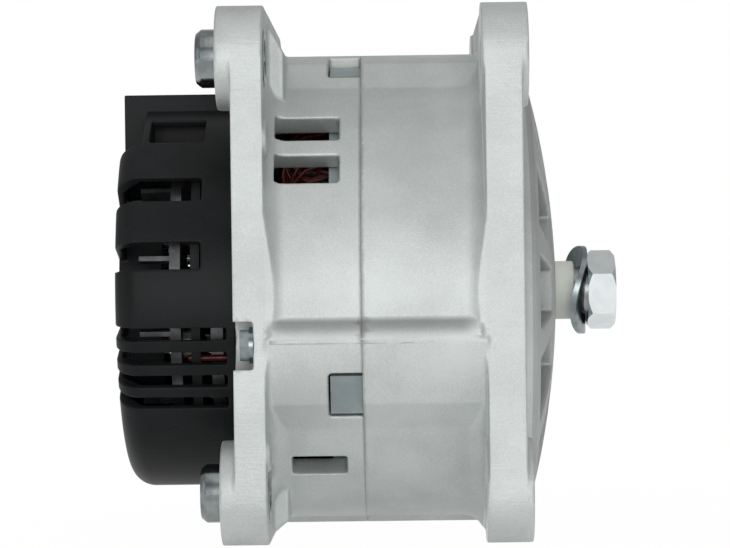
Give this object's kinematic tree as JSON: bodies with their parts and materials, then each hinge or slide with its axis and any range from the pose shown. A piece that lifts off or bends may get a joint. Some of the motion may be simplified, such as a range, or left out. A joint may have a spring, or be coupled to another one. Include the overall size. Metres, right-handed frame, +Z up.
{
  "type": "generator alternator head",
  "caption": "Heavy-duty claw-pole alternator with two eared cast housings, slotted rear cover, sliding mounting bushes and a bare pulley shaft.",
  "frame": {"origin": "on the shaft axis at the pulley seat, the front face of the front bearing's inner ring", "axes": "+X along the shaft towards the nut, +Z up across the taller ear spacing, -Y the left side seen from the nut end"},
  "size_m": [0.1713, 0.16, 0.177],
  "materials": {
    "cast_aluminium": "bare sand-fine die casting",
    "zinc_steel": "bright bluish zinc plate",
    "bush_steel": "bright zinc plate, turned",
    "laminated_steel": "grey-blue varnished laminations",
    "enamelled_copper": "dark red-brown wire enamel",
    "bearing_steel": "ground bearing steel",
    "seal_rubber": "matt seal rubber",
    "black_plastic": "fine-grained black moulding",
    "inner_plastic": "black glass-filled moulding",
    "shaft_steel": "turned and forged steel",
    "fan_steel": "pressed steel sheet",
    "bare_copper": "bare copper",
    "brush_carbon": "pressed carbon and copper",
    "spring_steel": "spring wire",
    "heatsink_aluminium": "extruded aluminium",
    "diode_can": "knurled nickel-plated can",
    "sleeve_plastic": "pale grey-green moulding"
  },
  "bodies": {
    "case": {"front_housing": "cast_aluminium", "rear_housing": "cast_aluminium", "through_bolts": "zinc_steel", "retainer_screws": "zinc_steel", "rectifier_screws": "zinc_steel", "cover_screws": "zinc_steel", "output_nut": "zinc_steel", "output_washer": "zinc_steel", "cover_posts": "zinc_steel", "stator_core": "laminated_steel", "stator_winding": "enamelled_copper", "phase_leads": "enamelled_copper", "front_bearing_outer_ring": "bearing_steel", "rear_bearing_outer_ring": "bearing_steel", "front_bearing_seals": "seal_rubber", "rear_bearing_seals": "seal_rubber", "rear_cover": "black_plastic", "terminal_box": "black_plastic", "rear_bearing_liner": "inner_plastic", "brush_holder": "inner_plastic", "rectifier_board": "inner_plastic", "rectifier_spacers": "inner_plastic", "regulator": "inner_plastic", "bearing_retainer": "shaft_steel", "output_busbar": "bare_copper", "output_stud": "bare_copper", "signal_pins": "bare_copper", "inner_brush_spring": "spring_steel", "outer_brush_spring": "spring_steel", "negative_heatsink": "heatsink_aluminium", "positive_heatsink": "heatsink_aluminium", "negative_diodes": "diode_can", "positive_diodes": "diode_can"},
    "rotor": {"shaft": "shaft_steel", "front_claw_pole": "shaft_steel", "rear_claw_pole": "shaft_steel", "field_bobbin": "inner_plastic", "field_coil": "enamelled_copper", "front_fan": "fan_steel", "rear_fan": "fan_steel", "slip_ring_hub": "inner_plastic", "inner_slip_ring": "bare_copper", "outer_slip_ring": "bare_copper", "front_bearing_inner_ring": "bearing_steel", "rear_bearing_inner_ring": "bearing_steel", "shaft_sleeve": "sleeve_plastic", "spring_washer": "zinc_steel", "shaft_nut": "zinc_steel"},
    "front_cage": {"front_bearing_balls": "bearing_steel", "front_bearing_cage": "bearing_steel"},
    "rear_cage": {"rear_bearing_balls": "bearing_steel", "rear_bearing_cage": "bearing_steel"},
    "inner_brush": {"inner_brush": "brush_carbon"},
    "outer_brush": {"outer_brush": "brush_carbon"},
    "upper_left_bush": {"upper_left_bush": "bush_steel"},
    "upper_right_bush": {"upper_right_bush": "bush_steel"},
    "lower_left_bush": {"lower_left_bush": "bush_steel"},
    "lower_right_bush": {"lower_right_bush": "bush_steel"}
  },
  "joints": [
    {"name": "rotor_spin", "type": "hinge", "parent": "case", "child": "rotor", "pos_m": [0, 0, 0], "axis": [1, 0, 0], "continuous": true},
    {"name": "front_cage_spin", "type": "hinge", "parent": "case", "child": "front_cage", "pos_m": [-0.0075, 0, 0], "axis": [1, 0, 0], "continuous": true},
    {"name": "rear_cage_spin", "type": "hinge", "parent": "case", "child": "rear_cage", "pos_m": [-0.0985, 0, 0], "axis": [1, 0, 0], "continuous": true},
    {"name": "inner_brush_slide", "type": "slide", "parent": "case", "child": "inner_brush", "axis": [0, 0, 1], "range_m": [0, 0.004], "stiffness_N_per_m": 150, "springref_m": -0.02, "deforming": ["inner_brush_spring"]},
    {"name": "outer_brush_slide", "type": "slide", "parent": "case", "child": "outer_brush", "axis": [0, 0, 1], "range_m": [0, 0.004], "stiffness_N_per_m": 150, "springref_m": -0.02, "deforming": ["outer_brush_spring"]},
    {"name": "upper_left_bush_slide", "type": "slide", "parent": "case", "child": "upper_left_bush", "axis": [1, 0, 0], "range_m": [-0.002, 0.0045]},
    {"name": "upper_right_bush_slide", "type": "slide", "parent": "case", "child": "upper_right_bush", "axis": [1, 0, 0], "range_m": [-0.002, 0.0045]},
    {"name": "lower_left_bush_slide", "type": "slide", "parent": "case", "child": "lower_left_bush", "axis": [1, 0, 0], "range_m": [-0.002, 0.0045]},
    {"name": "lower_right_bush_slide", "type": "slide", "parent": "case", "child": "lower_right_bush", "axis": [1, 0, 0], "range_m": [-0.002, 0.0045]}
  ],
  "couplings": [
    {"joint": "front_cage_spin", "follows": "rotor_spin", "ratio": 0.3722},
    {"joint": "rear_cage_spin", "follows": "rotor_spin", "ratio": 0.3688}
  ]
}
